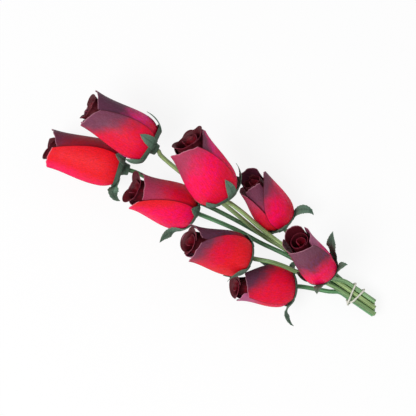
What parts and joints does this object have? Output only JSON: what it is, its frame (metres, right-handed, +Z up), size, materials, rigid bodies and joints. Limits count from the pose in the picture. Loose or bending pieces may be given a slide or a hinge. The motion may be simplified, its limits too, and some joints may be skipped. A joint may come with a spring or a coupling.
{
  "type": "wooden rose bunch",
  "caption": "Bunch of dyed wood-shaving rosebuds with paper calyxes on covered wire stems, held by an elastic tie that slides; each bud nods at its neck",
  "frame": {"origin": "middle of the bunch as it lies on a table, at table height", "axes": "+X along the bundle of stems towards their cut ends, +Z up from the table"},
  "size_m": [0.2318, 0.076, 0.0734],
  "materials": {
    "petal_shaving": "dyed thin shaving, satin",
    "heart_shaving": "dark dyed shaving, matt",
    "calyx_paper": "stiff coated paper, matt",
    "stem_covering": "semi-gloss plastic covering",
    "tie_elastic": "fine woven elastic, matt"
  },
  "bodies": {
    "stems": {"rose1_stem": "stem_covering", "rose2_stem": "stem_covering", "rose3_stem": "stem_covering", "rose4_stem": "stem_covering", "rose5_stem": "stem_covering", "rose6_stem": "stem_covering", "rose7_stem": "stem_covering", "rose8_stem": "stem_covering"},
    "bud1": {"rose1_calyx": "calyx_paper", "rose1_heart": "heart_shaving", "rose1_petal_1": "petal_shaving", "rose1_petal_2": "petal_shaving", "rose1_petal_3": "petal_shaving", "rose1_petal_4": "petal_shaving"},
    "bud2": {"rose2_calyx": "calyx_paper", "rose2_heart": "heart_shaving", "rose2_petal_1": "petal_shaving", "rose2_petal_2": "petal_shaving", "rose2_petal_3": "petal_shaving", "rose2_petal_4": "petal_shaving"},
    "bud3": {"rose3_calyx": "calyx_paper", "rose3_heart": "heart_shaving", "rose3_petal_1": "petal_shaving", "rose3_petal_2": "petal_shaving", "rose3_petal_3": "petal_shaving", "rose3_petal_4": "petal_shaving"},
    "bud4": {"rose4_calyx": "calyx_paper", "rose4_heart": "heart_shaving", "rose4_petal_1": "petal_shaving", "rose4_petal_2": "petal_shaving", "rose4_petal_3": "petal_shaving", "rose4_petal_4": "petal_shaving"},
    "bud5": {"rose5_calyx": "calyx_paper", "rose5_heart": "heart_shaving", "rose5_petal_1": "petal_shaving", "rose5_petal_2": "petal_shaving", "rose5_petal_3": "petal_shaving", "rose5_petal_4": "petal_shaving"},
    "bud6": {"rose6_calyx": "calyx_paper", "rose6_heart": "heart_shaving", "rose6_petal_1": "petal_shaving", "rose6_petal_2": "petal_shaving", "rose6_petal_3": "petal_shaving", "rose6_petal_4": "petal_shaving"},
    "bud7": {"rose7_calyx": "calyx_paper", "rose7_heart": "heart_shaving", "rose7_petal_1": "petal_shaving", "rose7_petal_2": "petal_shaving", "rose7_petal_3": "petal_shaving", "rose7_petal_4": "petal_shaving"},
    "bud8": {"rose8_calyx": "calyx_paper", "rose8_heart": "heart_shaving", "rose8_petal_1": "petal_shaving", "rose8_petal_2": "petal_shaving", "rose8_petal_3": "petal_shaving", "rose8_petal_4": "petal_shaving"},
    "tie": {"tie_elastic": "tie_elastic"}
  },
  "joints": [
    {"name": "bud1_nod", "type": "hinge", "parent": "stems", "child": "bud1", "pos_m": [-0.06349, -0.00593, 0.01612], "axis": [0.0581, 0.2957, 0.9535], "range_deg": [0, 25]},
    {"name": "bud2_nod", "type": "hinge", "parent": "stems", "child": "bud2", "pos_m": [-0.05319, 0.01157, 0.03392], "axis": [-0.2148, 0.851, -0.4792], "range_deg": [0, 25]},
    {"name": "bud3_nod", "type": "hinge", "parent": "stems", "child": "bud3", "pos_m": [-0.01219, -0.00513, 0.01792], "axis": [0.3557, 0.3928, 0.8481], "range_deg": [0, 25]},
    {"name": "bud4_nod", "type": "hinge", "parent": "stems", "child": "bud4", "pos_m": [0.00011, 0.00957, 0.03622], "axis": [0.4125, 0.8997, 0.1428], "range_deg": [0, 25]},
    {"name": "bud5_nod", "type": "hinge", "parent": "stems", "child": "bud5", "pos_m": [0.03661, 0.02047, 0.00732], "axis": [-0.3734, 0.6243, -0.6861], "range_deg": [0, 25]},
    {"name": "bud6_nod", "type": "hinge", "parent": "stems", "child": "bud6", "pos_m": [0.03191, -0.01243, 0.03132], "axis": [-0.5722, 0.7678, -0.2881], "range_deg": [0, 25]},
    {"name": "bud7_nod", "type": "hinge", "parent": "stems", "child": "bud7", "pos_m": [0.07601, 0.00647, 0.02442], "axis": [0.0924, 0.9957, 0], "range_deg": [0, 25]},
    {"name": "bud8_nod", "type": "hinge", "parent": "stems", "child": "bud8", "pos_m": [0.06371, -0.00863, 0.00992], "axis": [-0.0281, 0.6214, 0.783], "range_deg": [0, 25]},
    {"name": "tie_slide", "type": "slide", "parent": "stems", "child": "tie", "axis": [0.9903, 0, -0.1392], "range_m": [0, 0.009]}
  ]
}
